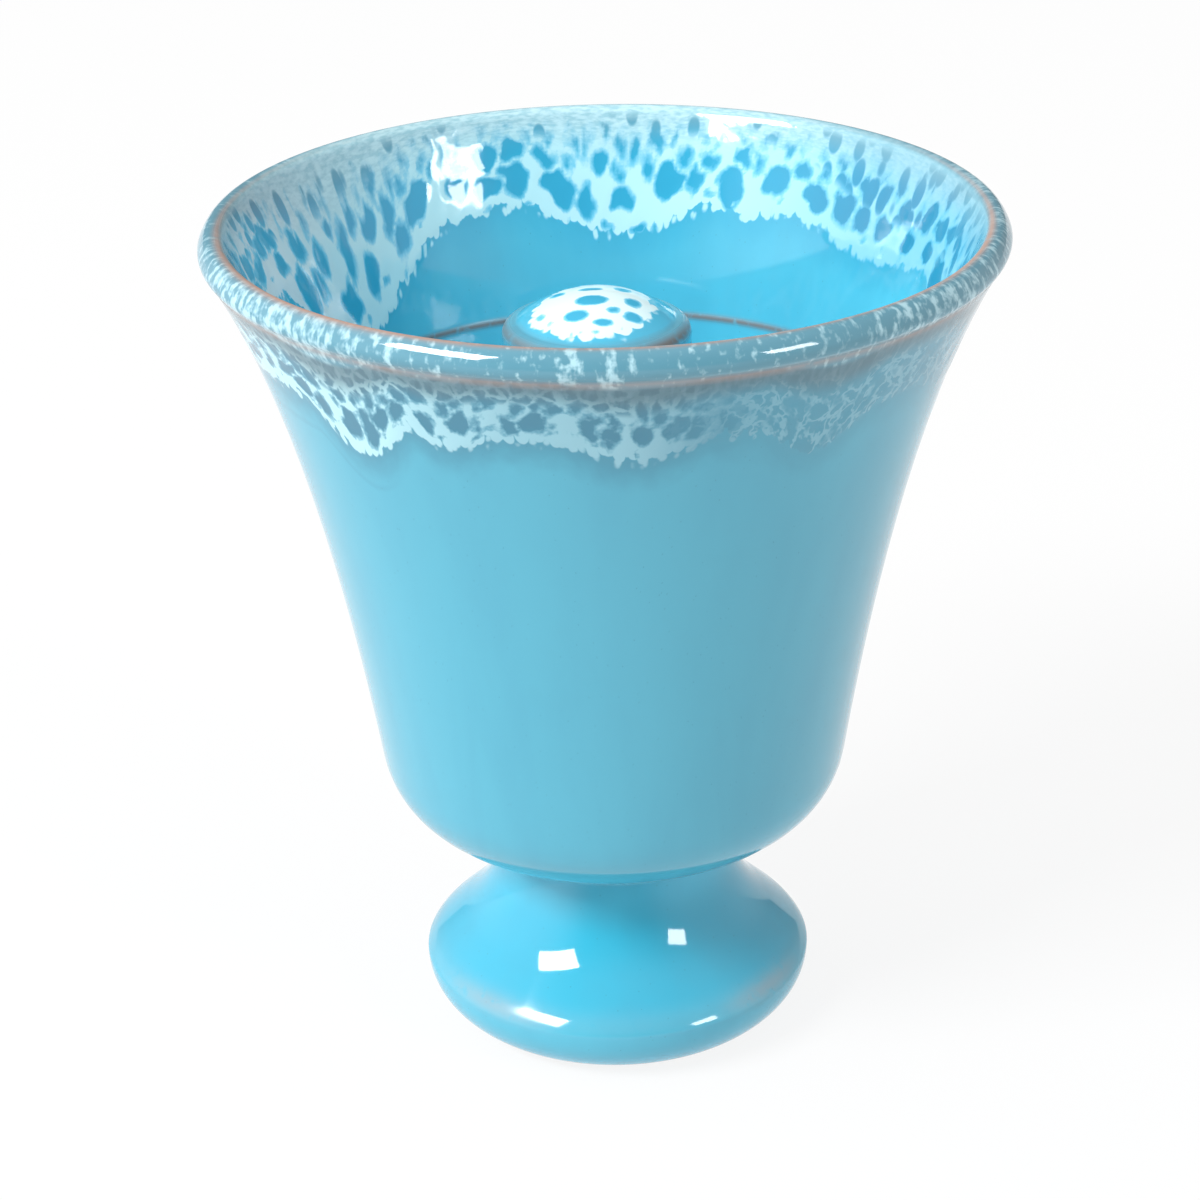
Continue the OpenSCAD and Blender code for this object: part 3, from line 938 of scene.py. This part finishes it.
glow = add(tree, "ShaderNodeEmission", {"Color": (1, 1, 1, 1), "Strength": 1.0}).outputs[0]
share = sums(tree, "MULTIPLY", seen, 1 - shadow_share)
surface = add(tree, "ShaderNodeMixShader", {0: share, 1: matt, 2: glow}).outputs[0]
add(tree, "ShaderNodeOutputMaterial", {"Surface": surface})
table_mesh.materials.append(table_paint)

# The room is white, and brighter at its sides and overhead, most of all at the left.
# Two soft boxes, lamps behind white cloth, stand in it in front of the cup, left and right.

room_strength = 0.15
left_strength = 1.15
right_strength = 0.2
top_strength = 0.6
mirrored_strength = 0.12
mirrored_right = 0.5
side_start = 0.35
side_end = 0.95
top_start = 0.5
cup_middle = np.array([0, 0, 0.06])

world = bpy.data.worlds.new("white_room")
world.use_nodes = True
bpy.context.scene.world = world
tree = world.node_tree
tree.nodes.clear()
rays = add(tree, "ShaderNodeLightPath")
way = add(tree, "ShaderNodeTexCoord").outputs["Generated"]
way = add(tree, "ShaderNodeSeparateXYZ", {"Vector": way}).outputs
strength = plus(tree, rise(tree, way["X"], -side_start, -side_end), left_strength, room_strength)
to_right = rise(tree, way["X"], side_start, side_end)
strength = plus(tree, to_right, right_strength, strength)
strength = plus(tree, rise(tree, way["Z"], top_start, 1.0), top_strength, strength)
mirrored = plus(tree, to_right, mirrored_right, mirrored_strength)
strength = plus(tree, rays.outputs["Is Glossy Ray"], mirrored, strength)
strength = sums(tree, "MAXIMUM", strength, rays.outputs["Is Camera Ray"])
room = add(tree, "ShaderNodeBackground", {"Color": (1, 1, 1, 1), "Strength": strength}).outputs[0]
add(tree, "ShaderNodeOutputWorld", {"Surface": room})


def stand(holder, side, up, back, place):
    """Puts a lamp or camera at a place, with its own x, y and z axes along side, up and back."""
    turn = np.eye(4)
    turn[:3] = np.stack([side, up, back, place], axis=1)
    holder.matrix_world = Matrix(turn)
    bpy.context.scene.collection.objects.link(holder)


def soft_box(name, lamp_distance, azimuth, elevation, wide, tall, light):
    """An area lamp that looks at the cup from an azimuth and an elevation, as many degrees wide and
    tall as the cup sees it. Its energy is light times the square of pi times the distance, so that
    a white card held up to it at the cup is as bright as light says."""
    azimuth = np.radians(azimuth)
    elevation = np.radians(elevation)
    level = np.cos(elevation)
    out = np.array([level * np.cos(azimuth), level * np.sin(azimuth), np.sin(elevation)])
    lamp = bpy.data.lights.new(name, "AREA")
    lamp.shape = "RECTANGLE"
    lamp.size = 2 * lamp_distance * np.tan(np.radians(wide / 2))
    lamp.size_y = 2 * lamp_distance * np.tan(np.radians(tall / 2))
    lamp.energy = light * (np.pi * lamp_distance) ** 2
    holder = bpy.data.objects.new(name, lamp)
    side = np.cross([0, 0, 1], out)
    side /= np.linalg.norm(side)
    stand(holder, side, np.cross(out, side), out, cup_middle + out * lamp_distance)


soft_box("left_soft_box", lamp_distance=2.0, azimuth=-143.5, elevation=41.5,
         wide=25, tall=14, light=0.96)
soft_box("right_soft_box", lamp_distance=3.0, azimuth=-38, elevation=27,
         wide=13.5, tall=9.6, light=0.17)

# The camera stands in front of the cup and looks down at it, as in the photograph.
# It has a long lens and is rolled by about one degree.

camera_place = np.array([0, -0.3319, 0.2067])
camera_pitch = 0.4344
camera_yaw = -0.0040
camera_roll = -0.0204
camera_lens = 93.7
camera_sensor = 36
camera_near = 0.01

camera_data = bpy.data.cameras.new("camera")
camera_data.lens = camera_lens
camera_data.sensor_width = camera_sensor
camera_data.clip_start = camera_near
camera = bpy.data.objects.new("camera", camera_data)
level = np.cos(camera_pitch)
forward = np.array([np.sin(camera_yaw) * level, np.cos(camera_yaw) * level, -np.sin(camera_pitch)])
right = np.cross(forward, [0, 0, 1])
right /= np.linalg.norm(right)
above = np.cross(right, forward)
rolled_right = np.cos(camera_roll) * right + np.sin(camera_roll) * above
rolled_up = -np.sin(camera_roll) * right + np.cos(camera_roll) * above
stand(camera, rolled_right, rolled_up, -forward, camera_place)
bpy.context.scene.camera = camera
bpy.context.scene.view_settings.view_transform = "Standard"
